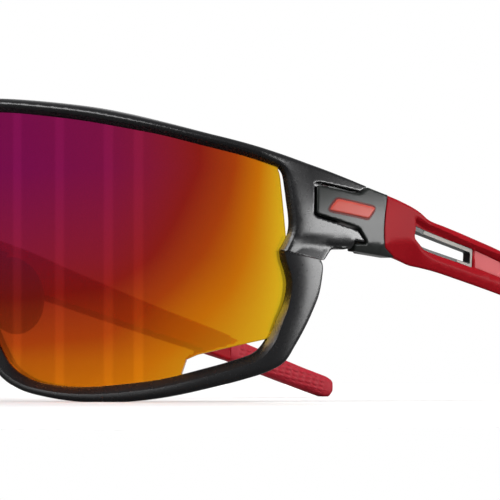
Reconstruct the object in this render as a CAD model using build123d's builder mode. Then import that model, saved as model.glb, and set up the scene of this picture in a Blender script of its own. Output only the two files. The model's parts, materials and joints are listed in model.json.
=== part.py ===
from build123d import *
import os
from math import atan2, cos, degrees, radians, sin

# Wraparound sport sunglasses, millimetres.
# +X is the wearer's left, the front faces -Y, +Z is up.
# The origin is under the middle of the box around the open sunglasses.
# Heights are above the surface they stand on, and "y" in the lists below is
# measured backwards from the front of the brow.

# ---- driving dimensions ----
overall_depth = 161.6
front_y = -overall_depth / 2

bow_radius = 85.4            # outer face of the front, in plan
bow_half_angle = 46.0        # how far that arc runs on each side, degrees
corner_radius = 31.7         # tighter arc where the front turns into a temple

lens_inset = 2.0             # lens face behind the frame's outer face
lens_thickness = 1.8
lens_clearance = 0.1         # snap fit in the upper frame
rim_lens_clearance = 0.35    # running room in the removable lower rim

brow_depth = 6.0
endpiece_depth = 5.8
rim_depth = 5.0
bevel_width = 1.3            # sloped band between the outer face and the lens

seam_gap = 0.2               # between upper frame and lower rim
peg_radius = 1.2
peg_length = 5.0
peg_clearance = 0.2
peg_along = 80.0             # place of the pegs round the front
peg_inset = 3.2              # behind the outer face
peg_root = 24.0              # height at which a peg grows out of the lower rim
peg_seam = 28.2              # height of the seam beside it

hinge_x = 66.2
hinge_y = 44.7
hinge_z = 37.65
hinge_tilt = 12.0            # the axis leans back with the slope of the temple
hinge_gap = 3.6              # half height of the slot between the two arms
knuckle_half = 3.1
knuckle_radius = 2.9
knuckle_room = 3.4
upper_arm_radius = 6.7
lower_arm_radius = 8.9
swing_clearance = 0.3
tongue_front = 6.3           # ahead of the hinge axis
tongue_inner_x = 67.5
pocket_inner_x = 67.1
screw_radius = 0.8
screw_head_radius = 1.5
screw_head_height = 1.0
insert_radius = 1.35
running_clearance = 0.05

temple_corner = 1.1          # rounding of the temple's cross section
liner_wall = 0.7
liner_recess = 0.9
liner_back = 3.1             # depth of the liner's inner edge
inlay_thickness = 0.8
badge_thickness = 0.6
badge_proud = 0.15
wire_radius = 0.6
nose_wire_radius = 0.5

# Brow: distance along the bow, lower edge, top.
brow_stations = [(0, 56.0, 59.0), (19, 55.9, 58.5), (40, 53.5, 56.4),
                 (60, 49.3, 51.9), (72, 46.0, 48.9), (79, 43.6, 46.8)]
# Side of the frame, in front of and around the hinge: distance, top.
endpiece_stations = [(74, 48.2), (79, 46.8), (85, 44.9), (91, 43.1), (98, 41.2)]
endpiece_floor = 25.0

# Lower rim, from the side seam round to the nose: distance along the bow,
# height and half width of its middle line.
rim_stations = [(79.6, 31.0, 4.7), (80.4, 22.5, 3.4), (76.3, 11.7, 2.8),
                (66.6, 6.1, 2.0), (50.0, 2.5, 1.8), (36.4, 1.35, 1.5),
                (25.5, 3.1, 1.35), (18.2, 8.6, 1.4), (13.6, 17.0, 1.4),
                (9.6, 26.5, 1.4), (5.2, 31.4, 1.4), (0, 33.0, 1.4)]

# Nose bridge, behind the top of the nose arch: distance, height, heading.
bridge_stations = [(13.6, 17.0, 114), (9.6, 26.5, 118), (5.2, 31.4, 144), (0, 33.0, 180)]

# Temple: y, lower edge, top, thickness.
shell_stations = [(55.8, 28.0, 40.3, 4.6), (60, 27.4, 38.95, 4.6),
                  (64.5, 26.1, 37.3, 3.6), (69, 25.2, 35.1, 3.3),
                  (76, 23.6, 33.2, 3.2), (89, 20.7, 29.5, 3.2),
                  (104, 16.9, 24.4, 3.1), (120, 12.5, 18.8, 3.1),
                  (137.5, 7.6, 12.8, 3.3)]
tip_stations = [(137.5, 7.6, 12.8, 3.3), (147, 4.2, 9.4, 3.7),
                (156, 1.0, 6.0, 3.8), (159.6, 0.05, 4.9, 3.4),
                (161.6, 0.9, 3.9, 1.8)]
root_stations = [(47.5, 29.2, 42.8, 4.6), (51.5, 28.7, 41.6, 4.6),
                 (55.8, 28.0, 40.3, 4.6)]


# ---- where things lie on the wrapped front ----
def bow_frame(along):
    """Outer face point, direction along the bow and direction inwards."""
    first = bow_radius * radians(bow_half_angle)
    first_angle = radians(bow_half_angle)
    if along <= first:
        angle, radius, centre = along / bow_radius, bow_radius, (0, bow_radius)
    else:
        angle = first_angle + (along - first) / corner_radius
        radius = corner_radius
        inner = bow_radius - corner_radius
        centre = (inner * sin(first_angle), bow_radius - inner * cos(first_angle))
    outward = Vector(sin(angle), -cos(angle), 0)
    point = Vector(centre[0], front_y + centre[1], 0) + outward * radius
    return point, Vector(cos(angle), sin(angle), 0), -outward


def bow_plane(along, height=0.0, heading=0.0):
    """Section plane at a place on the bow: local x runs inwards from the outer
    face, local y across the path, whose heading is 0 along and 90 upwards."""
    point, tangent, inward = bow_frame(along)
    turn = radians(heading)
    path = tangent * cos(turn) + Vector(0, 0, 1) * sin(turn)
    return Plane(origin=point + Vector(0, 0, height), x_dir=inward, z_dir=path)


def temple_x(y):
    """Outer face of the temple in plan: nearly straight, then bowing inwards."""
    past = y - 49.2
    return 70.31 - 0.035 * past - 9.086e-6 * past ** 3


def hinge_plane(along_axis=0.0):
    """Plane square to the left hinge axis, local y rearwards."""
    tilt = radians(hinge_tilt)
    axis = Vector(0, sin(tilt), cos(tilt))
    origin = Vector(hinge_x, front_y + hinge_y, hinge_z) + axis * along_axis
    return Plane(origin=origin, x_dir=(1, 0, 0), z_dir=axis)


def side_plane(x):
    """Side view plane: local x is y from the brow, local y is height."""
    return Plane(origin=(x, front_y, 0), x_dir=(0, 1, 0), z_dir=(1, 0, 0))


def temple_section(y, low, high, thickness, corner=temple_corner):
    """One rounded cross section of the temple on its own plane."""
    with BuildSketch(Plane.XZ.offset(-(front_y + y))) as section:
        with Locations((temple_x(y) - thickness / 2, (low + high) / 2)):
            RectangleRounded(thickness, high - low, corner)
    return section.sketch


def temple_loft(stations):
    """Solid through a list of temple sections."""
    with BuildPart() as body:
        for y, low, high, thickness in stations:
            add(temple_section(y, low, high, thickness, min(temple_corner, thickness * 0.45)))
        loft(ruled=True)
    return body.part


# ---- lens ----
lens_top = [(0, 57.3), (18.7, 57.0), (39, 54.6), (55.3, 50.5), (63.0, 46.8)]
lens_side = [(64.5, 45.0), (65.3, 33.0), (65.4, 27.0), (64.8, 18.0), (62.8, 11.9)]
lens_vent = [(54.5, 9.3), (51.7, 8.7), (51.0, 3.2)]
lens_foot = [(43.3, 2.1), (34.5, 1.6), (24.5, 3.2), (17.6, 8.9),
             (13.2, 17.0), (9.4, 26.4), (5.2, 31.2), (0, 33.0)]


def lens_band(grow):
    """The lens, swollen by grow on every side to make the groove it sits in."""
    outer = bow_radius - lens_inset + grow
    inner = bow_radius - lens_inset - lens_thickness - grow
    with BuildPart() as band:
        with BuildSketch(Plane.XZ.offset(-front_y)):
            with BuildLine():
                top = Spline(*[(x, z + grow) for x, z in lens_top])
                side = Polyline(top @ 1, *[(x + grow, z) for x, z in lens_side])
                vent = Polyline(side @ 1, *[(x + grow, z - grow) for x, z in lens_vent])
                foot = [(x - grow, z - grow) for x, z in lens_foot[:-1]]
                foot.append((0, lens_foot[-1][1] - grow))
                foot = Spline(vent @ 1, *foot)
                Line(foot @ 1, top @ 0)
            make_face()
            mirror(about=Plane.YZ)
        extrude(amount=-bow_radius * 0.55)
        with BuildSketch(Plane.XY.offset(-grow)):
            with Locations((0, front_y + bow_radius)):
                Circle(outer)
                Circle(inner, mode=Mode.SUBTRACT)
        extrude(amount=60 + 2 * grow, mode=Mode.INTERSECT)
    return band.part


with BuildPart() as lens:
    add(lens_band(0))

# ---- upper frame: brow bar and both endpieces, one moulding ----
with BuildPart() as upper_frame:
    for along, low, top in brow_stations:
        with BuildSketch(bow_plane(along)):
            with BuildLine():
                Polyline((0, low + bevel_width), (0, top - 0.7), (0.9, top), (brow_depth - 1, top),
                         (brow_depth, top - 0.9), (brow_depth, low - 1.4), (brow_depth - 0.7, low - 2),
                         (3.9, low - 2), (3.9, low), (1.9, low), close=True)
            make_face()
    loft()
    for along, top in endpiece_stations:
        with BuildSketch(bow_plane(along)):
            with BuildLine():
                Polyline((0, endpiece_floor), (0, top - 0.8), (0.9, top), (endpiece_depth - 1, top),
                         (endpiece_depth, top - 1), (endpiece_depth, endpiece_floor), close=True)
            make_face()
    loft()
    # the edge of the lens opening, nearly upright at the side
    with BuildSketch(Plane(origin=bow_frame(76)[0], x_dir=bow_frame(76)[1], z_dir=bow_frame(76)[2])):
        with BuildLine():
            Spline((-0.7, 45.2), (0.7, 42.6), (1.8, 36.0), (1.6, 32.6), (-0.2, 29.2))
            Polyline((-0.2, 29.2), (-0.2, 20), (-9, 20), (-9, 45.2), (-0.7, 45.2))
        make_face()
    extrude(amount=9, both=True, mode=Mode.SUBTRACT)
    # underside: the seam with the lower rim, a corner, then the hinge arm
    with BuildSketch(side_plane(56)):
        with BuildLine():
            Polyline((26, 30.31), (39.9, 27.2), (41.8, 29.3), (47.4, 29.6), (48.0, 29.0),
                     (60, 27.6), (60, 20), (26, 20), close=True)
        make_face()
    extrude(amount=20, mode=Mode.SUBTRACT)
    # ends of the arms, round about the hinge axis
    with BuildSketch(hinge_plane(0)):
        with Locations((0, 12)):
            Rectangle(40, 24)
        Circle(upper_arm_radius, mode=Mode.SUBTRACT)
    extrude(amount=14, mode=Mode.SUBTRACT)
    with BuildSketch(hinge_plane(0)):
        with Locations((0, 12)):
            Rectangle(40, 24)
        Circle(lower_arm_radius, mode=Mode.SUBTRACT)
    extrude(amount=-14, mode=Mode.SUBTRACT)
    # slot for the temple's knuckle and the shallow pocket for its tongue
    with BuildSketch(hinge_plane(-hinge_gap)):
        Circle(knuckle_room)
        with Locations((0, 8)):
            Rectangle(24, 16)
    extrude(amount=2 * hinge_gap, mode=Mode.SUBTRACT)
    with BuildSketch(hinge_plane(-hinge_gap)):
        with Locations((pocket_inner_x - hinge_x + 5, -tongue_front / 2 - 0.25)):
            Rectangle(10, tongue_front + 0.5)
    extrude(amount=2 * hinge_gap, mode=Mode.SUBTRACT)
    # screw hole from below, wider for the head, and the seat of the insert above
    with BuildSketch(hinge_plane(0)):
        Circle(screw_radius)
    extrude(amount=10, both=True, mode=Mode.SUBTRACT)
    with BuildSketch(hinge_plane(-6.8)):
        Circle(screw_head_radius)
    extrude(amount=-6, mode=Mode.SUBTRACT)
    with BuildSketch(hinge_plane(hinge_gap)):
        Circle(insert_radius)
    extrude(amount=1.6, mode=Mode.SUBTRACT)
    # socket for the peg of the lower rim
    with BuildSketch(Plane.XY.offset(peg_root)):
        with Locations(bow_frame(peg_along)[0] + bow_frame(peg_along)[2] * peg_inset):
            Circle(peg_radius + peg_clearance)
    extrude(amount=peg_seam + peg_length + 3 * peg_clearance - peg_root, mode=Mode.SUBTRACT)
    mirror(about=Plane.YZ)
    add(lens_band(lens_clearance), mode=Mode.SUBTRACT)

# ---- lower rim: both lower lens edges and the arch over the nose ----
with BuildPart() as lower_rim:
    for index, (along, height, half) in enumerate(rim_stations):
        before = rim_stations[max(index - 1, 0)]
        after = rim_stations[min(index + 1, len(rim_stations) - 1)]
        run, rise = after[0] - before[0], after[1] - before[1]
        heading = degrees(atan2(rise, run)) if along else 180
        with BuildSketch(bow_plane(along, height, heading)):
            with BuildLine():
                Polyline((0, -half + bevel_width), (1.8, -half), (rim_depth - 0.4, -half),
                         (rim_depth, -half + 0.5), (rim_depth, half - 0.7), (rim_depth - 0.7, half),
                         (0.7, half), (0, half - 0.7), close=True)
            make_face()
    loft()
    # flush with the seam, which slopes the same way as the upper frame's
    with BuildSketch(side_plane(50)):
        with BuildLine():
            Polyline((20, 31.65 - seam_gap), (45, 26.06 - seam_gap), (45, 45), (20, 45), close=True)
        make_face()
    extrude(amount=30, mode=Mode.SUBTRACT)
    with BuildSketch(Plane.XY.offset(peg_root)):
        with Locations(bow_frame(peg_along)[0] + bow_frame(peg_along)[2] * peg_inset):
            Circle(peg_radius)
    extrude(amount=peg_seam + peg_length - peg_root)
    # a small flat under each side, which it stands on
    split(bisect_by=Plane.XY, keep=Keep.TOP)
    mirror(about=Plane.YZ)
    add(lens_band(rim_lens_clearance), mode=Mode.SUBTRACT)

# ---- nose piece ----
with BuildPart() as nose_bridge:
    for along, height, heading in bridge_stations:
        with BuildSketch(bow_plane(along, height, heading)):
            with Locations((rim_depth + 0.8, 0.3)):
                RectangleRounded(1.6, 2.4, 0.5)
    loft()
    mirror(about=Plane.YZ)
    add(lower_rim.part, mode=Mode.SUBTRACT)

nose_pad_plane = Plane(origin=(11.0, front_y + 13.0, 20.5), x_dir=(0.36, 0.93, 0),
                       z_dir=(-0.9, 0.348, -0.26))
with BuildPart() as nose_wire:
    with BuildSketch(Plane(origin=nose_pad_plane.from_local_coords((-4.0, 1.0, 0)),
                           z_dir=nose_pad_plane.x_dir)):
        Circle(nose_wire_radius)
    extrude(amount=7.5)

with BuildPart() as nose_pad:
    with BuildSketch(nose_pad_plane):
        Ellipse(6.0, 7.6)
    extrude(amount=1.3, both=True)
    fillet(nose_pad.edges(), radius=0.9)
    add(nose_bridge.part, mode=Mode.SUBTRACT)
    add(nose_wire.part, mode=Mode.SUBTRACT)

# ---- temple: black core with tongue and knuckle ----
corner_centre_x = (bow_radius - corner_radius) * sin(radians(bow_half_angle))
corner_centre_y = bow_radius - (bow_radius - corner_radius) * cos(radians(bow_half_angle))
with BuildPart() as temple_tongue:
    with BuildSketch(hinge_plane(-knuckle_half)):
        with Locations((tongue_inner_x - hinge_x + 3, 1)):
            Rectangle(6, 2 * tongue_front + 2)
        with Locations((2.5, 4.6)):
            Rectangle(6, 9.2)
        Circle(knuckle_radius)
    extrude(amount=2 * knuckle_half)
    with BuildSketch(Plane.XY.offset(20)):
        with Locations((corner_centre_x, front_y + corner_centre_y)):
            Circle(corner_radius - 0.1)
    extrude(amount=30, mode=Mode.INTERSECT)

# ---- badge: a plain raised lozenge on the tongue ----
badge_outline = [(-6.9, -1.7), (4.4, -1.7), (6.9, 1.7), (-4.4, 1.7)]
badge_plane = Plane(origin=(hinge_x, front_y + hinge_y + 2.4, hinge_z - 0.5), x_dir=(0, 1, -0.16),
                    z_dir=(1, 0, 0))
badge_line = [bow_frame(along)[0] for along in (82, 86, 90)]
badge_line += [Vector(temple_x(y), front_y + y, 0) for y in (51, 54, 57)]
with BuildPart() as badge:
    with BuildSketch(badge_plane):
        with BuildLine():
            Polyline(*badge_outline, close=True)
        make_face()
        fillet(vertices(), radius=1.1)
    extrude(amount=8)
    with BuildSketch(Plane.XY.offset(20)):
        with BuildLine():
            outer_line = Spline(*[(p.X + badge_proud, p.Y) for p in badge_line])
            inner_line = Spline(*[(p.X + badge_proud - badge_thickness, p.Y) for p in badge_line])
            Line(outer_line @ 0, inner_line @ 0)
            Line(outer_line @ 1, inner_line @ 1)
        make_face()
    extrude(amount=30, mode=Mode.INTERSECT)

with BuildPart() as temple_core:
    add(temple_loft(root_stations))
    with BuildSketch(hinge_plane(swing_clearance - hinge_gap)):
        Circle(upper_arm_radius + swing_clearance)
    extrude(amount=20, mode=Mode.SUBTRACT)
    with BuildSketch(hinge_plane(swing_clearance - hinge_gap)):
        Circle(lower_arm_radius + swing_clearance)
    extrude(amount=-20, mode=Mode.SUBTRACT)
    add(temple_tongue.part)
    add(badge.part, mode=Mode.SUBTRACT)
    with BuildSketch(hinge_plane(0)):
        Circle(screw_radius + running_clearance)
    extrude(amount=12, both=True, mode=Mode.SUBTRACT)
    # spigot that the outer shell is moulded round
    with BuildSketch(side_plane(temple_x(60) - 3.3)):
        with BuildLine():
            Polyline((55.0, 30.5), (63.5, 29.0), (63.5, 35.0), (55.0, 37.5), close=True)
        make_face()
    extrude(amount=2.0)

# ---- temple: red outer shell with its window, and what sits in it ----
window_outline = [(64.3, 36.0), (64.1, 31.4), (67.0, 29.2), (81.0, 25.9), (81.4, 29.7)]
inlay_outline = [(81.9, 29.4), (81.6, 26.1), (104, 20.2), (126, 13.6), (126.5, 14.9), (104, 22.2)]


def wire_path(first_y, last_y):
    """Middle line of the rear of the temple between two places."""
    ends = []
    for y in (first_y, (first_y + last_y) / 2, last_y):
        drop = (y - 120) / (156 - 120)
        ends.append((temple_x(y) - 1.95, front_y + y, 15.6 + drop * (3.5 - 15.6)))
    return ends


with BuildPart() as tip_wire:
    with BuildLine() as wire_line:
        ThreePointArc(*wire_path(118, 156))
    with BuildSketch(Plane(origin=wire_line.line @ 0, z_dir=wire_line.line % 0)):
        Circle(wire_radius)
    sweep()

with BuildPart() as slot_liner:
    with BuildSketch(side_plane(temple_x(66) - 8)):
        with BuildLine():
            Polyline(*window_outline, close=True)
        make_face()
        fillet(vertices(), radius=0.7)
        offset(amount=-liner_wall, mode=Mode.SUBTRACT)
    extrude(amount=16)
    with BuildSketch(Plane.XY.offset(20)):
        with BuildLine():
            Polyline(*[(temple_x(y) - liner_recess, front_y + y) for y in (60, 72, 84)],
                     *[(temple_x(y) - liner_back, front_y + y) for y in (84, 72, 60)], close=True)
        make_face()
    extrude(amount=30, mode=Mode.INTERSECT)

with BuildPart() as temple_inlay:
    with BuildSketch(side_plane(50)):
        with BuildLine():
            Polyline(*inlay_outline, close=True)
        make_face()
        fillet(vertices(), radius=0.5)
    extrude(amount=30)
    with BuildSketch(Plane.XY):
        with BuildLine():
            rear = [80, 92, 104, 116, 128]
            outer_edge = Spline(*[(temple_x(y) - 0.5, front_y + y) for y in rear])
            inner_edge = Spline(*[(temple_x(y) - 0.5 - inlay_thickness, front_y + y) for y in rear])
            Line(outer_edge @ 0, inner_edge @ 0)
            Line(outer_edge @ 1, inner_edge @ 1)
        make_face()
    extrude(amount=45, mode=Mode.INTERSECT)

with BuildPart() as temple_shell:
    add(temple_loft(shell_stations))
    with BuildSketch(side_plane(50)):
        with BuildLine():
            Polyline(*window_outline, close=True)
        make_face()
        fillet(vertices(), radius=0.7)
    extrude(amount=30, mode=Mode.SUBTRACT)
    add(temple_inlay.part, mode=Mode.SUBTRACT)
    add(temple_core.part, mode=Mode.SUBTRACT)
    add(tip_wire.part, mode=Mode.SUBTRACT)

with BuildPart() as temple_tip:
    add(temple_loft(tip_stations))
    add(tip_wire.part, mode=Mode.SUBTRACT)

# ---- hinge hardware ----
with BuildPart() as hinge_insert:
    with BuildSketch(hinge_plane(hinge_gap)):
        Circle(insert_radius)
        Circle(screw_radius, mode=Mode.SUBTRACT)
    extrude(amount=1.6)

with BuildPart() as hinge_screw:
    with BuildSketch(hinge_plane(-6.8)):
        Circle(screw_head_radius)
    extrude(amount=-screw_head_height)
    with BuildSketch(hinge_plane(-6.8)):
        Circle(screw_radius)
    extrude(amount=6.8 + hinge_gap + 1.6)


# ---- write every piece, with a mirrored one for the wearer's right ----
os.makedirs("parts", exist_ok=True)


def write(piece, name):
    piece.label = name
    export_step(piece, f"parts/{name}.step")


write(upper_frame.part, "upper_frame")
write(lower_rim.part, "lower_rim")
write(lens.part, "lens")
write(nose_bridge.part, "nose_bridge")

paired = {"nose_pad": nose_pad, "nose_wire": nose_wire, "hinge_screw": hinge_screw,
          "hinge_insert": hinge_insert, "temple_core": temple_core, "badge": badge,
          "temple_shell": temple_shell, "slot_liner": slot_liner,
          "temple_inlay": temple_inlay, "temple_tip": temple_tip, "tip_wire": tip_wire}
for name, builder in paired.items():
    write(builder.part, f"{name}_left")
    write(mirror(builder.part, about=Plane.YZ), f"{name}_right")
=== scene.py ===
import json
from math import cos, pi, radians, sin, sqrt

import bpy
import numpy as np
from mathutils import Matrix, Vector
from mathutils.geometry import delaunay_2d_cdt


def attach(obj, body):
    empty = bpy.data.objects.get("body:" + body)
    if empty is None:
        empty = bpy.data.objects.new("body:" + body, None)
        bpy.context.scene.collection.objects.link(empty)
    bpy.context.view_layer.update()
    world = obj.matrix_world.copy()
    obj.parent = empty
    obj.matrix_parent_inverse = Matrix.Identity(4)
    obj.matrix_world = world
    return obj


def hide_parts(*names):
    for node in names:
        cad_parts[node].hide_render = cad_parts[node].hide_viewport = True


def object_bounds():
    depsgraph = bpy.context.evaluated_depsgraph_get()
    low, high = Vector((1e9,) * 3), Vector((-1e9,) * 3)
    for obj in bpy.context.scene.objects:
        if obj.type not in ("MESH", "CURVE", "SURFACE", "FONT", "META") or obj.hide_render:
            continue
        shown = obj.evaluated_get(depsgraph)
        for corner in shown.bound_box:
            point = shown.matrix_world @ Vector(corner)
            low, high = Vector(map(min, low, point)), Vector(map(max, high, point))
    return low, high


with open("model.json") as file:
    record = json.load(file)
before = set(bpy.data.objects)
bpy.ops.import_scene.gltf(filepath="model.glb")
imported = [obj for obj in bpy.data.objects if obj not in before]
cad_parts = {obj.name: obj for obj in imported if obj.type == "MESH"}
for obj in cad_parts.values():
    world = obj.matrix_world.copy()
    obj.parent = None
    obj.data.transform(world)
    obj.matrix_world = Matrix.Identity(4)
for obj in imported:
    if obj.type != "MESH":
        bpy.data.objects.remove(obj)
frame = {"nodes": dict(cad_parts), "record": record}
cad_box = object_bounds()

# Lengths below are millimetres, and MM turns them into Blender's metres.
# "y" is measured backwards from the front of the brow, "along" is the distance
# round the outer face from the middle of the brow, "depth" goes inwards from it.
MM = 0.001
FRONT_Y = cad_box[0][1] / MM

BOW_RADIUS = 85.4
BOW_ANGLE = radians(46.0)
CORNER_RADIUS = 31.7
CORNER_END = radians(92.0)
LENS_RADIUS = BOW_RADIUS - 2.0
LENS_THICKNESS = 1.8

BOW_END = BOW_RADIUS * BOW_ANGLE
CORNER_ALONG = BOW_END + CORNER_RADIUS * (CORNER_END - BOW_ANGLE)
CORNER_X = (BOW_RADIUS - CORNER_RADIUS) * sin(BOW_ANGLE)
CORNER_Y = BOW_RADIUS - (BOW_RADIUS - CORNER_RADIUS) * cos(BOW_ANGLE)
TEMPLE_START_Y = CORNER_Y - CORNER_RADIUS * cos(CORNER_END)

TEMPLE_ROOT_X, TEMPLE_ROOT_Y = 70.31, 49.2
TEMPLE_TAPER, TEMPLE_BEND = 0.035, 9.086e-6

HINGE = frame["record"]["behaviour"]["joints"][0]
HINGE_POINT = np.array(HINGE["pos_m"]) / MM
HINGE_AXIS = np.array(HINGE["axis"])


# ---------------------------------------------------------------- geometry
def temple_x(y):
    """Outer face of the temple in plan."""
    past = y - TEMPLE_ROOT_Y
    return TEMPLE_ROOT_X - TEMPLE_TAPER * past - TEMPLE_BEND * past ** 3


def arrays(*values):
    """The values as number arrays of one shape."""
    return np.broadcast_arrays(*[np.asarray(value, float) for value in values])


def on_bow(along, height, depth):
    """Points (arrays) on the wrapped frame, as rows of x, y, z in mm."""
    along, height, depth = arrays(along, height, depth)
    side, reach = np.sign(along) + (along == 0), np.abs(along)
    angle = np.where(reach <= BOW_END, reach / BOW_RADIUS,
                     BOW_ANGLE + (np.minimum(reach, CORNER_ALONG) - BOW_END) / CORNER_RADIUS)
    radius = np.where(reach <= BOW_END, BOW_RADIUS, CORNER_RADIUS) - depth
    x = np.where(reach <= BOW_END, 0, CORNER_X) + radius * np.sin(angle)
    y = np.where(reach <= BOW_END, BOW_RADIUS, CORNER_Y) - radius * np.cos(angle)
    past = np.maximum(reach - CORNER_ALONG, 0)
    x = np.where(past > 0, temple_x(TEMPLE_START_Y + past) - depth, x)
    return np.stack([side * x, FRONT_Y + y + past, height], axis=-1)


def on_side(y, height, depth):
    """The same by distance behind the brow's front, for the side pieces."""
    y = np.asarray(y, float)
    turn = np.arccos(np.clip((CORNER_Y - y) / CORNER_RADIUS, -1, 1))
    along = np.where(y < TEMPLE_START_Y, BOW_END + (turn - BOW_ANGLE) * CORNER_RADIUS,
                     CORNER_ALONG + y - TEMPLE_START_Y)
    return on_bow(along, height, depth)


def on_lens(along, height, depth):
    """Points on the lens cylinder."""
    along, height, depth = arrays(along, height, depth)
    angle, radius = along / LENS_RADIUS, LENS_RADIUS - depth
    y = FRONT_Y + BOW_RADIUS - radius * np.cos(angle)
    return np.stack([radius * np.sin(angle), y, height], axis=-1)


def curve(points, step=0.6):
    """Smooth line through a few points, by a centripetal Catmull-Rom spline."""
    points = [np.array(p, float) for p in points]
    points = [2 * points[0] - points[1]] + points + [2 * points[-1] - points[-2]]
    line = []
    for a, b, c, d in zip(points, points[1:], points[2:], points[3:]):
        t1 = sqrt(np.linalg.norm(b - a))
        t2 = t1 + sqrt(np.linalg.norm(c - b))
        t3 = t2 + sqrt(np.linalg.norm(d - c))
        for t in np.linspace(t1, t2, max(2, int(np.linalg.norm(c - b) / step) + 1))[:-1]:
            p = (t1 - t) / t1 * a + t / t1 * b
            q = (t2 - t) / (t2 - t1) * b + (t - t1) / (t2 - t1) * c
            r = (t3 - t) / (t3 - t2) * c + (t - t2) / (t3 - t2) * d
            m = (t2 - t) / t2 * p + t / t2 * q
            n = (t3 - t) / (t3 - t1) * q + (t - t1) / (t3 - t1) * r
            line.append((t2 - t) / (t2 - t1) * m + (t - t1) / (t2 - t1) * n)
    return line + [points[-2]]


def rounded(corners, radius, step=0.25):
    """Polygon with every corner rounded; radius is one number or one a corner."""
    radii = radius if isinstance(radius, (list, tuple)) else [radius] * len(corners)
    corners = [np.array(c, float) for c in corners]
    line = []
    for i, corner in enumerate(corners):
        back, ahead = corners[i - 1] - corner, corners[(i + 1) % len(corners)] - corner
        lengths = np.linalg.norm(back), np.linalg.norm(ahead)
        back, ahead = back / lengths[0], ahead / lengths[1]
        half = np.arccos(np.clip(back @ ahead, -1, 1)) / 2
        reach = min(radii[i] / np.tan(half), 0.48 * min(lengths))
        a, b = corner + back * reach, corner + ahead * reach
        count = max(2, int(reach / step) + 2) if reach > 1e-3 else 1
        for t in np.linspace(0, 1, count):
            line.append((1 - t) ** 2 * a + 2 * t * (1 - t) * corner + t * t * b)
    return line


def distance_to(points, line, closed=False):
    """Shortest distance from each point to a line of segments."""
    line = np.array(line, float)
    start, end = (line, np.roll(line, -1, 0)) if closed else (line[:-1], line[1:])
    best = np.full(len(points), 1e9)
    for a, b in zip(start, end):
        run = b - a
        t = np.clip((points - a) @ run / max(run @ run, 1e-12), 0, 1)
        best = np.minimum(best, np.linalg.norm(points - a - t[:, None] * run, axis=1))
    return best


def inside(points, loop):
    """Which points lie inside a closed loop."""
    loop = np.array(loop, float)
    x, y = points[:, 0], points[:, 1]
    result = np.zeros(len(points), bool)
    for (x1, y1), (x2, y2) in zip(loop, np.roll(loop, -1, 0)):
        crosses = (y1 > y) != (y2 > y)
        result ^= crosses & (x < (x2 - x1) * (y - y1) / (y2 - y1 + 1e-30) + x1)
    return result


def even(loop, step):
    """Loop with its long stretches divided."""
    result = []
    for a, b in zip(loop, loop[1:] + loop[:1]):
        count = max(1, int(np.linalg.norm(np.subtract(b, a)) / step + 0.5))
        result += [np.array(a) + (np.array(b) - np.array(a)) * k / count for k in range(count)]
    return result


def between(value, low, high):
    """0 below low, 1 above high and even in between; high may be the smaller."""
    return np.clip((value - low) / (high - low), 0, 1)


def table(value, rows):
    """A value read off a table of (position, value) rows."""
    rows = np.array(rows)
    return np.interp(value, rows[:, 0], rows[:, 1])


def soft_round(distance, radius):
    """How far a quarter-round edge has fallen, by distance from the edge."""
    t = np.clip(radius - distance, 0, radius)
    return radius - np.sqrt(np.maximum(radius ** 2 - t ** 2, 0))


def make_mesh(name, vertices, faces, smooth_angle=50):
    """Mesh object from points in mm."""
    mesh = bpy.data.meshes.new(name)
    points = [tuple(v) for v in np.asarray(vertices) * MM]
    mesh.from_pydata(points, [], [tuple(map(int, face)) for face in faces])
    mesh.validate()
    mesh.shade_smooth()
    mesh.set_sharp_from_angle(angle=radians(smooth_angle))
    piece = bpy.data.objects.new(name, mesh)
    bpy.context.collection.objects.link(piece)
    return piece


def offset_loop(loop, inset):
    """Closed loop moved inwards."""
    line = np.array(loop, float)
    run = np.roll(line, -1, 0) - np.roll(line, 1, 0)
    normal = np.stack([-run[:, 1], run[:, 0]], -1) / np.linalg.norm(run, axis=1)[:, None]
    area = np.sum(line[:, 0] * np.roll(line[:, 1], -1) - np.roll(line[:, 0], -1) * line[:, 1])
    return line + normal * inset * np.sign(area)


EDGE_BAND = 0.5         # width of the finer band of points beside an edge
BACK_ROUNDING = 0.3     # radius of every slab's back edges
THINNEST = 0.05


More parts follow.
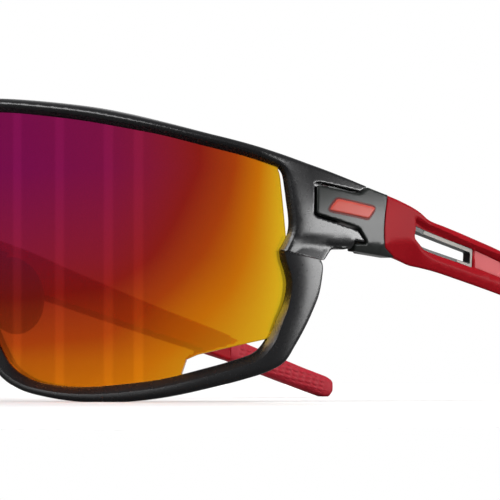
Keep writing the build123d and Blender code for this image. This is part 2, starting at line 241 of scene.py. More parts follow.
def plate(outline, place, front, back, step=1.0, holes=(), creases=(), fine=0.3,
          insets=(0.06, 0.22, 0.5), back_move=None):
    """Curved slab cut to an outline. front and back give the depth at each
    point, creases are lines that its front folds along, and back_move slides
    its back face along the surface. Returns points and faces."""
    loops = [even(list(map(np.array, loop)), fine) for loop in [outline, *holes]]
    rim = np.concatenate([np.array(loop) for loop in loops])
    low, high = rim.min(0), rim.max(0)
    band = 2.2 * fine + EDGE_BAND
    points = [rim]
    for pitch, near, far in ((fine, 0.12, band), (step, band, 1e9)):
        u, v = np.meshgrid(np.arange(low[0], high[0], pitch), np.arange(low[1], high[1], pitch))
        u = u + (np.arange(len(u)) % 2)[:, None] * pitch / 2
        grid = np.stack([u.ravel(), v.ravel()], -1)
        keep = inside(grid, loops[0])
        for hole in loops[1:]:
            keep &= ~inside(grid, hole)
        grid = grid[keep]
        gap = np.min([distance_to(grid, loop, True) for loop in loops], axis=0)
        keep = (gap > max(near, pitch * 0.45)) & (gap <= far)
        for crease in creases:
            keep &= distance_to(grid, crease) > pitch * 0.35
        points.append(grid[keep])
    for inset in insets:
        for k, loop in enumerate(loops):
            moved = offset_loop(loop, inset if k == 0 else -inset)
            gap = np.min([distance_to(moved, other, True) for other in loops], axis=0)
            points.append(moved[gap > inset * 0.9])
    edges, first = [], 0
    for loop in loops:
        count = len(loop)
        edges += [(first + k, first + (k + 1) % count) for k in range(count)]
        first += count
    first = sum(len(some) for some in points)
    for crease in creases:
        line = np.array(crease, float)
        counts = [max(2, int(np.linalg.norm(b - a) / step) + 2) for a, b in zip(line, line[1:])]
        line = np.concatenate([a + (b - a) * np.linspace(0, 1, count)[:-1, None]
                               for a, b, count in zip(line, line[1:], counts)] + [line[-1:]])
        points.append(line)
        edges += [(first + k, first + k + 1) for k in range(len(line) - 1)]
        first += len(line)
    points = np.concatenate(points)
    flat, _, triangles, *_ = delaunay_2d_cdt([Vector(p) for p in points], edges, [], 0, 1e-4)
    flat = np.array([tuple(p) for p in flat])
    triangles = np.array([t for t in triangles if len(t) == 3])
    middle = flat[triangles].mean(1)
    keep = inside(middle, loops[0])
    for hole in loops[1:]:
        keep &= ~inside(middle, hole)
    triangles = triangles[keep]
    used = np.unique(triangles)
    renumber = np.full(len(flat), -1)
    renumber[used] = np.arange(len(used))
    flat, triangles = flat[used], renumber[triangles]
    gap = np.min([distance_to(flat, loop, True) for loop in loops], axis=0)
    top = front(flat)
    bottom = np.maximum(back(flat) - soft_round(gap, BACK_ROUNDING), top + THINNEST)
    behind = back_move(flat) if back_move else flat
    count = len(flat)
    vertices = np.concatenate([place(flat[:, 0], flat[:, 1], top),
                               place(behind[:, 0], behind[:, 1], bottom)])
    borders = {}
    for a, b, c in triangles:
        for one, two in ((a, b), (b, c), (c, a)):
            borders[(one, two)] = True
    faces = [tuple(t) for t in triangles] + [tuple(t + count)[::-1] for t in triangles]
    faces += [(two, one, one + count, two + count) for one, two in borders if (two, one) not in borders]
    return vertices, faces


def skin(rings):
    """Closed tube through rings of equal length, with flat ends."""
    rings = [np.asarray(r, float) for r in rings]
    size = len(rings[0])
    faces = []
    for k in range(len(rings) - 1):
        for i in range(size):
            j = (i + 1) % size
            faces.append((k * size + i, k * size + j, (k + 1) * size + j, (k + 1) * size + i))
    faces.append(tuple(range(size))[::-1])
    faces.append(tuple((len(rings) - 1) * size + i for i in range(size)))
    return np.concatenate(rings), faces


def join(*parts):
    """Several (points, faces) pairs as one."""
    vertices, faces, start = [], [], 0
    for points, some in parts:
        vertices.append(points)
        faces += [tuple(i + start for i in face) for face in some]
        start += len(points)
    return np.concatenate(vertices), faces


def mirrored(solid):
    """The same solid for the wearer's right."""
    vertices, faces = solid
    return vertices * (-1, 1, 1), [tuple(face)[::-1] for face in faces]


# --------------------------------------------------------------- materials
def material(name):
    """New material, its nodes and its principled shader."""
    made = bpy.data.materials.new(name)
    made.use_nodes = True
    nodes = made.node_tree.nodes
    return made, nodes, made.node_tree.links, nodes["Principled BSDF"]


def linear(red, green, blue):
    """Scene-linear colour from display values of 0 to 255."""
    def one(value):
        value /= 255
        return value / 12.92 if value <= 0.04045 else ((value + 0.055) / 1.055) ** 2.4
    return one(red), one(green), one(blue), 1.0


def grey(level):
    """Scene-linear grey."""
    return level, level, level, 1.0


def noise(nodes, links, place, scale, detail=2.0):
    """Noise texture in object space."""
    texture = nodes.new("ShaderNodeTexNoise")
    texture.inputs["Scale"].default_value = scale
    texture.inputs["Detail"].default_value = detail
    links.new(place.outputs["Object"], texture.inputs["Vector"])
    return texture.outputs["Fac"]


def varied(nodes, links, driver, low, high):
    """A value that a texture moves between two limits."""
    rescaled = nodes.new("ShaderNodeMapRange")
    rescaled.inputs["To Min"].default_value = low
    rescaled.inputs["To Max"].default_value = high
    links.new(driver, rescaled.inputs["Value"])
    return rescaled.outputs["Result"]


DRIFT_SCALE, GRAIN_SCALE, TOOL_MARK_SCALE = 60.0, 1400.0, 1500.0    # cycles a metre
GRAIN_DEPTH = 0.2 * MM


def moulded(name, colour, darker, roughness, bump=0.02, specular=0.5):
    """Moulded plastic or rubber: slight colour drift and fine grain."""
    made, nodes, links, shader = material(name)
    place = nodes.new("ShaderNodeTexCoord")
    ramp = ramp_node(nodes, [(0.3, darker), (0.7, colour)])
    links.new(noise(nodes, links, place, DRIFT_SCALE, 3.0), ramp.inputs["Fac"])
    links.new(ramp.outputs["Color"], shader.inputs["Base Color"])
    fine = noise(nodes, links, place, GRAIN_SCALE, 4.0)
    links.new(varied(nodes, links, fine, roughness * 0.94, roughness * 1.06), shader.inputs["Roughness"])
    relief = nodes.new("ShaderNodeBump")
    relief.inputs["Strength"].default_value = bump
    relief.inputs["Distance"].default_value = GRAIN_DEPTH
    links.new(fine, relief.inputs["Height"])
    links.new(relief.outputs["Normal"], shader.inputs["Normal"])
    shader.inputs["Specular IOR Level"].default_value = specular
    return made


def ramp_node(nodes, stops):
    """Colour ramp with the given (position, colour) stops."""
    ramp = nodes.new("ShaderNodeValToRGB")
    elements = ramp.color_ramp.elements
    while len(elements) < len(stops):
        elements.new(0.5)
    for element, (position, colour) in zip(elements, stops):
        element.position = position
        element.color = colour
    return ramp


# how far the coating's painted reflection colour has run, by distance round from the middle as a share of
# COATING_REACH, and by height as a share of COATING_TALL.
# The colours are the coating's own, but where they fall is painted by position, standing in for the shift of
# reflected colour with viewing angle.
COATING_REACH, COATING_TALL = 75.0, 60.0
REFLECTION_RUN_ACROSS = [(0.30, 0.0), (0.53, 0.10), (0.64, 0.25), (0.75, 0.45), (0.855, 0.62), (0.93, 0.78),
                  (1.0, 0.97)]
REFLECTION_RUN_DOWN = [(0.0, 0.80), (0.13, 0.72), (0.20, 0.64), (0.30, 0.54), (0.47, 0.30), (0.75, 0.0)]
COATING_REFLECTION_COLOURS = [(0.0, (150, 20, 94)), (0.30, (166, 34, 66)), (0.50, (172, 40, 30)), (0.66, (202, 82, 18)),
           (0.80, (233, 140, 12)), (1.0, (255, 222, 44))]
COATING_DRIFT, COATING_DRIFT_SCALE = 0.05, 25.0


def mirror_lens():
    """Mirror coating over a tinted lens that lets some light through. Its colour
    is painted by position, from violet in the middle to yellow at the outer and
    lower edges: partly the coating's own colours, partly a painted reflection
    colour standing in for the coating's change of colour with viewing angle."""
    made, nodes, links, shader = material("mirror_lens")
    place = nodes.new("ShaderNodeTexCoord")
    parts = nodes.new("ShaderNodeSeparateXYZ")
    links.new(place.outputs["Object"], parts.inputs["Vector"])

    def calculate(operation, one, two=None):
        node = nodes.new("ShaderNodeMath")
        node.operation = operation
        for socket, value in zip(node.inputs, (one, two)):
            if hasattr(value, "links"):
                links.new(value, socket)
            elif value is not None:
                socket.default_value = value
        return node.outputs[0]

    def looked_up(driver, stops):
        ramp = ramp_node(nodes, [(position, grey(value)) for position, value in stops])
        links.new(driver, ramp.inputs["Fac"])
        return ramp.outputs["Color"]

    width = calculate("ABSOLUTE", parts.outputs["X"])
    ahead = calculate("SUBTRACT", (FRONT_Y + BOW_RADIUS) * MM, parts.outputs["Y"])
    angle = calculate("ARCTAN2", width, ahead)
    across = looked_up(calculate("DIVIDE", angle, COATING_REACH / LENS_RADIUS), REFLECTION_RUN_ACROSS)
    down = looked_up(calculate("DIVIDE", parts.outputs["Z"], COATING_TALL * MM), REFLECTION_RUN_DOWN)
    rest = calculate("MULTIPLY", calculate("SUBTRACT", 1.0, across), calculate("SUBTRACT", 1.0, down))
    shade = calculate("SUBTRACT", 1.0, rest)
    drift = noise(nodes, links, place, COATING_DRIFT_SCALE)
    wander = calculate("MULTIPLY", calculate("SUBTRACT", drift, 0.5), COATING_DRIFT)
    # the coating's colours placed as a painted reflection colour by the run above
    colours = ramp_node(nodes, [(position, linear(*colour)) for position, colour in COATING_REFLECTION_COLOURS])
    links.new(calculate("ADD", shade, wander), colours.inputs["Fac"])
    links.new(colours.outputs["Color"], shader.inputs["Base Color"])
    shader.inputs["Metallic"].default_value = 0.4
    shader.inputs["Roughness"].default_value = 0.05
    shader.inputs["Transmission Weight"].default_value = 1.0
    shader.inputs["IOR"].default_value = 1.12
    return made


def metal(name, colour, roughness):
    """Bare metal with fine tool marks."""
    made, nodes, links, shader = material(name)
    marks = noise(nodes, links, nodes.new("ShaderNodeTexCoord"), TOOL_MARK_SCALE)
    links.new(varied(nodes, links, marks, roughness * 0.7, roughness * 1.4), shader.inputs["Roughness"])
    shader.inputs["Base Color"].default_value = colour
    shader.inputs["Metallic"].default_value = 1.0
    return made


BLACK = moulded("black_nylon", (0.006, 0.006, 0.007, 1), (0.004, 0.004, 0.005, 1),
                roughness=0.27, bump=0.002, specular=0.21)
GREY = moulded("grey_black_nylon", (0.015, 0.017, 0.016, 1), (0.011, 0.013, 0.012, 1),
               roughness=0.30, bump=0.004, specular=0.10)
RED = moulded("red_gloss", linear(156, 19, 29), linear(147, 16, 27), roughness=0.36, specular=0.015)
PALE_RED = moulded("inlay_red", linear(205, 100, 102), linear(198, 92, 96),
                   roughness=0.5, bump=0.06, specular=0.04)
RUBBER_RED = moulded("red_rubber", linear(172, 36, 50), linear(162, 30, 45),
                     roughness=0.55, bump=0.12, specular=0.08)
RUBBER_BLACK = moulded("black_rubber", (0.03, 0.03, 0.032, 1), (0.02, 0.02, 0.022, 1),
                       roughness=0.6, bump=0.12)
BADGE = moulded("badge_red", linear(190, 82, 70), linear(180, 70, 60), roughness=0.32, specular=0.05)
BADGE_EDGE = moulded("badge_edge", linear(90, 16, 14), linear(80, 12, 12),
                     roughness=0.4, bump=0.03, specular=0.05)
LINER = moulded("liner_grey", (0.012, 0.012, 0.011, 1), grey(0.008), roughness=0.35, bump=0.06, specular=0.1)
# pale grey for a painted highlight on the liner's face, in place of the light's reflection on black plastic
LINER_PAINTED_HIGHLIGHT = moulded("liner_painted_highlight", linear(165, 160, 152), linear(140, 136, 130),
                     roughness=0.4, bump=0.05, specular=0.1)
LENS = mirror_lens()
STEEL = metal("screw_steel", (0.6, 0.6, 0.61, 1), 0.3)
BRASS = metal("insert_brass", (0.78, 0.55, 0.24, 1), 0.3)
WIRE = metal("soft_wire", (0.75, 0.75, 0.76, 1), 0.35)


def finish_piece(piece, looks, body, slot, *nodes):
    """Gives a piece its material and body, and hides the CAD nodes it stands for. slot is not used."""
    piece.data.materials.append(looks)
    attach(piece, body)
    if nodes:
        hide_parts(*nodes)
    return piece


def pair(name, solid, looks, slot, node=None):
    """A left piece and its mirror image on the two temples."""
    for side, shape in (("left", solid), ("right", mirrored(solid))):
        piece = make_mesh(f"{name}_{side}_visual", *shape)
        finish_piece(piece, looks, f"{side}_temple", slot, *([f"{node}_{side}"] if node else []))


# ------------------------------------------------------------- upper frame
BROW_TOP = [(0, 58.9), (19, 58.45), (36.4, 56.85), (44.5, 55.5), (52.5, 53.75), (60.2, 51.9),
            (67.9, 50.0), (75.6, 47.8), (83.8, 45.3), (91.0, 43.05), (96.15, 41.5)]
BROW_LOW = [(74.3, 45.4), (71.4, 46.4), (67.9, 47.4), (60.2, 49.3), (52.5, 51.2), (46.5, 52.35),
            (36.4, 54.05), (27.9, 55.05), (19, 55.8), (0, 56.0)]
OPENING = [(75.9, 29.25), (76.7, 30.6), (77.5, 32.2), (77.8, 34.0), (77.7, 36.0), (77.35, 38.5),
           (77.0, 41.2), (76.5, 43.8), (75.7, 44.8), (74.3, 45.4)]
UNDERSIDE = [(95.1, 30.7), (92.3, 30.9), (92.1, 29.65), (91.4, 29.5), (89.8, 29.3), (88.4, 29.45),
             (87.6, 29.55), (86.6, 29.1), (85.4, 27.7), (85.0, 27.25)]
SEAM_LINE = [(84.2, 27.25), (75.9, 29.1)]
# slot between the arms, by y: upper arm's tip, its corner, the front of the slot, lower arm's tip
NOTCH = [(51.45, 41.4), (49.2, 40.45), (39.4, 42.2), (38.4, 42.0), (38.0, 36.2), (38.6, 35.6),
         (48.2, 33.0), (50.4, 30.7)]
NOTCH_RADII = [0, 0.3, 0.8, 0.4, 0.8, 0.5, 0.6, 0]
BEVEL_WIDTH = 1.15
BEVEL_SECTION = [(0, 1.95), (0.08, 1.75), (BEVEL_WIDTH, 0.4), (1.7, 0.1), (2.4, 0)]     # distance in, depth
BEVEL_SHARE = [(66, 1.0), (74, 0.62)]       # it narrows up the side
BEVEL_FOOT, BEVEL_RIDGE_FOOT = (75.9, 26.0), 28.9
TOP_ROUNDINGS = [(0, 1.7), (55, 1.5), (80, 0.7), (96, 0.35)]
NOTCH_ROUNDING, UNDER_ROUNDING, SEAM_ROUNDING = 0.28, 0.4, 0.15
FRAME_BACK = 5.8
BACK_DEPTHS = [(0, 6.0), (70, 6.0), (80, FRAME_BACK), (100, FRAME_BACK)]
WALL_SPLAY = 2.0
POCKET_FLOOR = [(37.6, 35.4), (37.6, 42.4), (41.2, 42.3), (41.2, 34.6)]
POCKET_FLOOR_X = 67.1
CROWN_CURVE, CROWN_HEIGHT = 0.011, 34.0
UNDERCUT_LINE = [(78, 32.2), (82.4, 31.5), (86.8, 31.0), (95.4, 30.8), (100, 30.2), (104, 30.9)]
UNDERCUT_SLOPE = 0.45


def along_of(y):
    """Distance round the outer face at which a given y is reached."""
    if y < TEMPLE_START_Y:
        return BOW_END + (np.arccos((CORNER_Y - y) / CORNER_RADIUS) - BOW_ANGLE) * CORNER_RADIUS
    return CORNER_ALONG + y - TEMPLE_START_Y


def crown(along, height):
    """The side of the frame leans in towards its top."""
    lean = between(along, 72, 82) * between(along, 112, 100)
    return CROWN_CURVE * np.maximum(height - CROWN_HEIGHT, 0) ** 2 * lean


def undercut(along, height):
    """The side turns in below a line just under the slot."""
    below = table(along, UNDERCUT_LINE) - height
    eased = (np.sqrt(below ** 2 + 0.05) + below) / 2
    return UNDERCUT_SLOPE * np.minimum(eased, 1.0) * between(along, 77.5, 81.5)


def inner_wall(along, wall_x):
    """Depth of an upright plane across the side, from its distance off the middle."""
    outer = on_bow(along, 0, 0)[:, 0]
    return (outer - wall_x) / np.clip((outer - CORNER_X) / CORNER_RADIUS, 0.5, 1)


def upper_frame():
    """Brow bar and both endpieces as one slab with a bevel towards the lens."""
    notch = rounded([(along_of(y), z) for y, z in NOTCH], NOTCH_RADII)
    top_line, opening, low_line = curve(BROW_TOP), curve(OPENING), curve(BROW_LOW)
    under = [np.array(p, float) for p in UNDERSIDE]
    half = top_line + notch[1:-1] + under + [np.array(SEAM_LINE[1])] + opening[1:] + low_line[1:]
    outline = half + [p * (-1, 1) for p in half[1:-1]][::-1]
    lens_edge = np.array([BEVEL_FOOT, *opening, *low_line[1:]])
    # the edge is closed across the lens, so that it can be offset as a loop
    ridge = offset_loop([*lens_edge, (0, 40.0), (60, 30.0)], -BEVEL_WIDTH)[1:len(lens_edge) - 1]
    ridge = [p for p in ridge if p[1] > BEVEL_RIDGE_FOOT]
    other = [p * (-1, 1) for p in ridge]

    def front(points):
        reach = np.stack([np.abs(points[:, 0]), points[:, 1]], -1)
        along, height = reach.T
        depth = table(distance_to(reach, lens_edge) / table(along, BEVEL_SHARE), BEVEL_SECTION)
        for edge, radius in ((top_line, table(along, TOP_ROUNDINGS)), (notch, NOTCH_ROUNDING),
                             (under, UNDER_ROUNDING), (SEAM_LINE, SEAM_ROUNDING)):
            depth = depth + soft_round(distance_to(reach, edge), radius)
        # the undercut fades out at the seam with the lower rim
        depth = depth + np.minimum(undercut(along, height), 0.1 + 0.13 * distance_to(reach, SEAM_LINE))
        return depth + crown(along, height)

    def back(points):
        return table(np.abs(points[:, 0]), BACK_DEPTHS)

    def back_move(points):
        # the wall beside the free edge of the lens splays outwards
        reach, height = np.abs(points[:, 0]), points[:, 1]
        share = between(reach, 86, 77) * between(reach, 70, 74)
        share = share * between(height, 28, 32) * between(height, 47, 44)
        return np.stack([points[:, 0] + np.sign(points[:, 0]) * WALL_SPLAY * share, height], -1)

    slab = plate(outline, on_bow, front, back, step=1.1, creases=[ridge, other], back_move=back_move,
                 insets=(0.06, 0.22, 0.5, 0.85, 1.25))
    # floor of the shallow pocket that the tongue closes into
    floor_edge = [(along_of(y), z) for y, z in POCKET_FLOOR]
    left = plate(floor_edge, on_bow, lambda p: inner_wall(p[:, 0], POCKET_FLOOR_X),
                 lambda p: np.full(len(p), FRAME_BACK - 0.1))
    return join(slab, left, mirrored(left))


piece = make_mesh("upper_frame_visual", *upper_frame())
finish_piece(piece, BLACK, "front", "black_nylon", "upper_frame")

# --------------------------------------------------------------- lower rim
RIM_INNER = [(75.9, 29.05), (76.2, 27.2), (76.9, 25.3), (77.4, 23.1), (77.3, 21.2), (76.7, 18.9),
             (75.3, 15.9), (73.7, 12.6), (71.0, 9.7), (67.0, 8.2), (60.5, 6.4), (52.5, 4.5), (45, 3.55),
             (36.4, 2.95), (30, 3.3), (24.6, 4.45), (20.5, 6.8), (17.8, 10.3), (14.1, 17.5), (10.6, 27.2),
             (6.1, 32.6), (0, 34.4)]
RIM_OUTER = [(84.4, 27.15), (84.8, 26.2), (84.6, 23.7), (83.9, 20.5), (82.5, 17.3), (80.9, 14.2),
             (78.8, 10.7), (76.7, 7.7), (73.6, 5.95), (68.6, 4.35), (62.1, 2.75), (53.5, 1.0), (45, 0.05),
             (36.4, 0.02), (29, 0.9), (22.6, 2.5), (18.3, 5.1), (15.2, 9.0), (11.5, 16.2), (8.2, 25.9),
             (4.3, 30.3), (0, 31.6)]
RIM_STEPS = 190
RIM_FULL_WIDTH = 3.4    # the section is squeezed where the rim is narrower than this
SIDE_BEVEL = [(8, 1.0), (14, 0.85), (20, 0.42)]     # the bevel narrows up the side, by height
SIDE_START = 60
# section of the rim: depth, distance from its inner edge, or from its outer edge if negative
RIM_SECTION = [(1.85, 0.03), (1.65, 0.1), (0.06, 1.7), (0.0, 2.2), (0.0, -1.0), (0.05, -0.7),
               (0.18, -0.4), (0.4, -0.14), (0.8, -0.01), (2.5, -0.001), (4.2, -0.001), (4.7, -0.15),
               (4.95, -0.5), (5.0, -1.0), (5.0, 0.9), (4.9, 0.35), (4.6, 0.04), (4.15, 0.0), (4.1, 0.1),
               (4.0, 1.4), (1.95, 1.4), (1.9, 0.1)]


def lower_rim():
    """Both lower lens edges and the nose arch, with the groove for the lens."""
    knots = np.linspace(0, len(RIM_INNER) - 1, RIM_STEPS + 1)

    def smooth(stations):
        line = np.array(curve(stations, 0.25))
        mark = np.concatenate([[0], np.cumsum(np.linalg.norm(np.diff(line, axis=0), axis=1))])
        at = [mark[np.argmin(np.linalg.norm(line - s, axis=1))] for s in stations]
        wanted = np.interp(knots, np.arange(len(stations)), at)
        return np.stack([np.interp(wanted, mark, line[:, k]) for k in (0, 1)], -1)

    section = np.array(RIM_SECTION)
    on_bevel = (section[:, 0] < 1.7) & (section[:, 1] > 0)
    rings = []
    for a, b in zip(smooth(RIM_INNER), smooth(RIM_OUTER)):
        width = np.linalg.norm(b - a)
        squeezed = section[:, 1] * min(1.0, width / RIM_FULL_WIDTH)
        from_inner = np.where(section[:, 1] >= 0, squeezed, width + squeezed)
        if a[0] > SIDE_START:
            from_inner = from_inner * np.where(on_bevel, table(a[1], SIDE_BEVEL), 1.0)
        spot = a + (b - a) / width * from_inner[:, None]
        rings.append(on_bow(spot[:, 0], np.maximum(spot[:, 1], 0), section[:, 0]))
    return skin(rings + [ring * (-1, 1, 1) for ring in rings[:-1]][::-1])


piece = make_mesh("lower_rim_visual", *lower_rim(), 35)
finish_piece(piece, BLACK, "lower_rim_unit", "black_nylon", "lower_rim")

# -------------------------------------------------------------------- lens
LENS_TOP = [(0, 57.2), (18.8, 56.9), (40.6, 54.4), (59.7, 50.3), (70.6, 47.0)]
LENS_SIDE = [(70.6, 47.0), (72.4, 46.2), (73.4, 45.3), (73.9, 43.8), (74.3, 40.7), (74.7, 36.8),
             (75.1, 32.6), (75.5, 28.5), (76.0, 24.5), (76.0, 21.5), (75.4, 18.5), (74.0, 15.5),
             (72.0, 12.6), (71.0, 12.0)]
LENS_VENT = [(66.0, 10.9), (58.0, 9.05), (55.9, 8.15), (55.0, 5.6), (54.6, 3.4)]
LENS_FOOT = [(54.6, 3.4), (45.6, 2.15), (35.6, 1.7), (24.9, 3.3), (17.7, 9.0), (13.25, 17.0), (9.4, 26.4),
             (5.2, 31.3), (0, 33.0)]
# the lens drops behind the frame's surface towards its outer ends
SET_BACK, SET_BACK_START, SET_BACK_RUN = 0.75, 68.0, 7.0


def lens():
    """One shield for both eyes."""
    half = curve(LENS_TOP, 1.0) + curve(LENS_SIDE, 0.8)[1:] + [np.array(p) for p in LENS_VENT[:-1]]
    half += curve(LENS_FOOT, 0.8)
    outline = half + [p * (-1, 1) for p in half[1:-1]][::-1]

    def front(points):
        share = (np.abs(points[:, 0]) - SET_BACK_START) / SET_BACK_RUN
        return SET_BACK * np.clip(share, 0, 1.2) ** 1.5

    return plate(outline, on_lens, front, lambda p: front(p) + LENS_THICKNESS, step=1.6, fine=0.5,
                 insets=(0.15,))


piece = make_mesh("lens_visual", *lens(), 60)
finish_piece(piece, LENS, "front", "mirror_lens", "lens")

# ----------------------------------------------- temples: core, shell, trim
TONGUE = [(38.6, 36.15), (38.9, 41.4), (39.6, 41.6), (48.9, 40.05), (49.6, 40.25), (51.8, 41.3),
          (56.85, 39.9), (56.0, 36.6), (55.6, 34.0), (55.6, 31.5), (55.8, 29.9), (57.5, 28.9),
          (59.8, 27.7), (47.8, 29.0), (47.8, 30.35), (50.75, 30.35), (50.75, 30.9), (48.75, 33.3),
          (47.9, 33.65)]
TONGUE_RADII = [0.5, 0.3, 0.4, 0.4, 0.3, 0.1, 0.1, 2.5, 1.5, 1.0, 0.6, 0.5, 0.2, 0.15, 0.1, 0.1, 0.2,
                0.6, 0.5]
SEAM = [(56.95, 39.85), (56.1, 36.6), (55.7, 34.0), (55.7, 31.5), (55.9, 29.9), (57.6, 28.9), (59.9, 27.65)]
SHELL_TOP = [(56.95, 39.85), (60.2, 38.85), (64.5, 37.3), (66.6, 36.25), (68.5, 35.2), (73.1, 34.0),
             (78.0, 32.7), (82.8, 31.35), (89.0, 29.55), (98.0, 26.4), (108.3, 22.9), (120.7, 18.6),
             (132.7, 14.5), (137.5, 12.8)]
SHELL_LOW = [(137.5, 7.65), (133.6, 8.8), (120.7, 12.4), (108.3, 15.85), (98.0, 18.65), (89.0, 20.95),
             (83.0, 22.35), (77.1, 23.7), (71.3, 25.0), (67.0, 25.8), (64.5, 26.25), (62.8, 26.75),
             (59.9, 27.65)]
# fold between the upright face and the lower facet; fold under the upper rail; line between the rails
RIDGE = [(47.6, 30.85), (50.9, 30.55), (55.0, 30.2), (58.4, 30.9), (63.0, 31.2), (64.2, 30.7), (66.2, 28.7),
         (68.7, 27.5), (73.8, 26.35), (81.6, 24.5), (89, 22.9), (104, 18.6), (120, 14.3), (137.5, 9.6)]
RAIL = [(65.0, 35.8), (67.8, 34.5), (73.2, 32.9), (78.6, 31.3), (81.6, 30.4), (89, 28.6), (104, 23.4),
        (120, 17.6), (128, 14.9), (137.5, 11.9)]
MIDDLE = [(64.4, 32.8), (81.8, 27.9), (104, 21.4), (126, 14.3), (137.5, 10.5)]
WINDOW = [(64.45, 34.3), (67.6, 33.25), (74.0, 31.5), (81.8, 29.65), (81.55, 26.0), (69.1, 28.85),
          (66.8, 29.45), (64.3, 31.6)]
WINDOW_RADII = [0.3, 1.5, 5.0, 0.3, 0.3, 2.0, 1.5, 1.2]
INLAY = [(82.25, 29.55), (82.0, 25.95), (89, 24.2), (104, 20.1), (126.0, 13.7), (126.5, 14.9), (104, 22.7),
         (89, 27.5)]
INLAY_RADII = [0.25, 0.25, 8, 8, 0.5, 0.5, 8, 8]
TEMPLE_BACK = [(55, 4.6), (60, 4.4), (64.5, 3.6), (69, 3.3), (76, 3.2), (89, 3.2), (104, 3.1), (120, 3.1),
               (137.5, 3.3)]
FACET_SLOPE = 0.36
HINGE_BLOCK = [(50.6, 33.4), (46.4, 34.4), (42.6, 35.5), (42.0, 41.6), (49.3, 40.3), (52.0, 41.1),
               (56.6, 39.4), (55.6, 30.6), (56.4, 29.0), (51.4, 29.4), (51.2, 31.0)]
HINGE_BLOCK_FRONT = 2.0
CORE_BACK = 4.6
# up to TONGUE_REAR the core is a thin tongue: flat inside at TONGUE_BACK_X, and at most TONGUE_THICK deep
TONGUE_REAR, TONGUE_BACK_X, TONGUE_THICK = 51.5, 67.5, 2.8
KNUCKLE = [(-3.05, 2.6), (-2.8, 2.85), (2.8, 2.85), (3.05, 2.6)]    # place on the hinge axis, radius


def across_line(points, line):
    """Height of each point above a line along the temple."""
    return points[:, 1] - table(points[:, 0], line)


def side_face(points):
    """Depth of the temple's outer face: leaning top, folded-in lower facet."""
    below = -across_line(points, RIDGE)
    facet = FACET_SLOPE * (np.sqrt(below ** 2 + 0.02) + below) / 2
    return facet + crown(points[:, 0] + CORNER_ALONG - TEMPLE_START_Y, points[:, 1])


def temple_back(points):
    """Depth of the temple's inner face."""
    return table(points[:, 0], TEMPLE_BACK)


def temple_core():
    """Tongue that lies in the slot, and the block and knuckle of the hinge behind it."""
    outline = rounded(TONGUE, TONGUE_RADII)

    def front(points):
        rounding = soft_round(distance_to(points, outline, True), 0.3)
        off_seam = between(distance_to(points, SEAM), 0, 1 / 3)
        return side_face(points) + rounding * off_seam + 0.05

    def back(points):
        along = np.array([along_of(y) for y in points[:, 0]])
        thin = np.minimum(inner_wall(along, TONGUE_BACK_X), TONGUE_THICK)
        return np.where(points[:, 0] < TONGUE_REAR, thin, CORE_BACK)

    tongue = plate(outline, on_side, front, back, step=0.8, creases=[RIDGE[:5]])
    block = plate(rounded(HINGE_BLOCK, 0.3), on_side, lambda p: np.full(len(p), HINGE_BLOCK_FRONT),
                  lambda p: np.full(len(p), CORE_BACK), step=1.2)
    across = np.array((1.0, 0, 0))
    rear = np.cross(HINGE_AXIS, across)
    turns = np.linspace(0, 2 * pi, 48, endpoint=False)
    rings = [HINGE_POINT + HINGE_AXIS * level
             + radius * (np.cos(turns)[:, None] * across + np.sin(turns)[:, None] * rear)
             for level, radius in KNUCKLE]
    return join(tongue, block, skin(rings))


pair("temple_core", temple_core(), GREY, "grey_black_nylon", "temple_core")

# turning in: under the upper rail's fold (slope and limit), above that fold, above the lower rail's fold
UNDER_RAIL_SLOPE, UNDER_RAIL_LIMIT = 0.8, 0.85
RAIL_LEAN = 0.32
LOWER_RAIL_LEAN, LOWER_RAIL_REACH = 0.3, 1.6
SHELL_TOP_ROUNDING, SHELL_LOW_ROUNDING, SHELL_SEAM_ROUNDING, WINDOW_ROUNDING = 0.45, 0.3, 0.12, 0.4
POCKET_DEPTH, POCKET_WALL = 1.5, 0.12
LOW_EDGE_LIFT = 0.62


def temple_shell():
    """Red side of the temple, with the window and a pocket for the inlay."""
    top_edge, low_edge, seam_edge = curve(SHELL_TOP), curve(SHELL_LOW), curve(SEAM)
    outline = top_edge + low_edge + curve(SEAM[::-1])[1:-1]
    window = rounded(WINDOW, WINDOW_RADII)
    pocket_top = even(rounded(INLAY, INLAY_RADII), 0.5)
    pocket_floor = offset_loop(pocket_top, POCKET_WALL)
    pocket_side = offset_loop(pocket_top, POCKET_WALL / 2)

    def front(points):
        depth = side_face(points)
        # upper rail: its face ends in a fold, then turns in to the window and inlay
        y, above = points[:, 0], across_line(points, RAIL)
        upper = between(across_line(points, MIDDLE), -0.6, 0.6)
        fade = between(y, 64.4, 64.8) * between(y, 132, 126)
        depth = depth + np.clip(-UNDER_RAIL_SLOPE * above, 0, UNDER_RAIL_LIMIT) * upper * fade
        behind_root = between(y, 66, 71)
        depth = depth + RAIL_LEAN * np.maximum(above, 0) * upper * behind_root
        lower = np.clip(across_line(points, RIDGE), 0, LOWER_RAIL_REACH) * (1 - upper)
        depth = depth + LOWER_RAIL_LEAN * lower * behind_root
        for edge, radius in ((top_edge, SHELL_TOP_ROUNDING), (low_edge, SHELL_LOW_ROUNDING),
                             (seam_edge, SHELL_SEAM_ROUNDING)):
            depth = depth + soft_round(distance_to(points, edge), radius)
        depth = depth + soft_round(distance_to(points, window, True), WINDOW_ROUNDING) * (1 - upper)
        return np.where(inside(points, pocket_side), np.maximum(depth, POCKET_DEPTH), depth)

    def back_move(points):
        # the inner face is a little shallower, so its lower edge stays hidden
        lift = between(distance_to(points, low_edge), 2.5, 0) * between(points[:, 0], 136, 128)
        return points + np.stack([np.zeros(len(points)), LOW_EDGE_LIFT * lift], -1)

    creases = [RIDGE[3:], RAIL, [*pocket_top, pocket_top[0]], [*pocket_floor, pocket_floor[0]]]
    return plate(outline, on_side, front, temple_back, step=0.9, holes=[window], creases=creases, fine=0.28,
                 back_move=back_move)


pair("temple_shell", temple_shell(), RED, "red_gloss", "temple_shell")


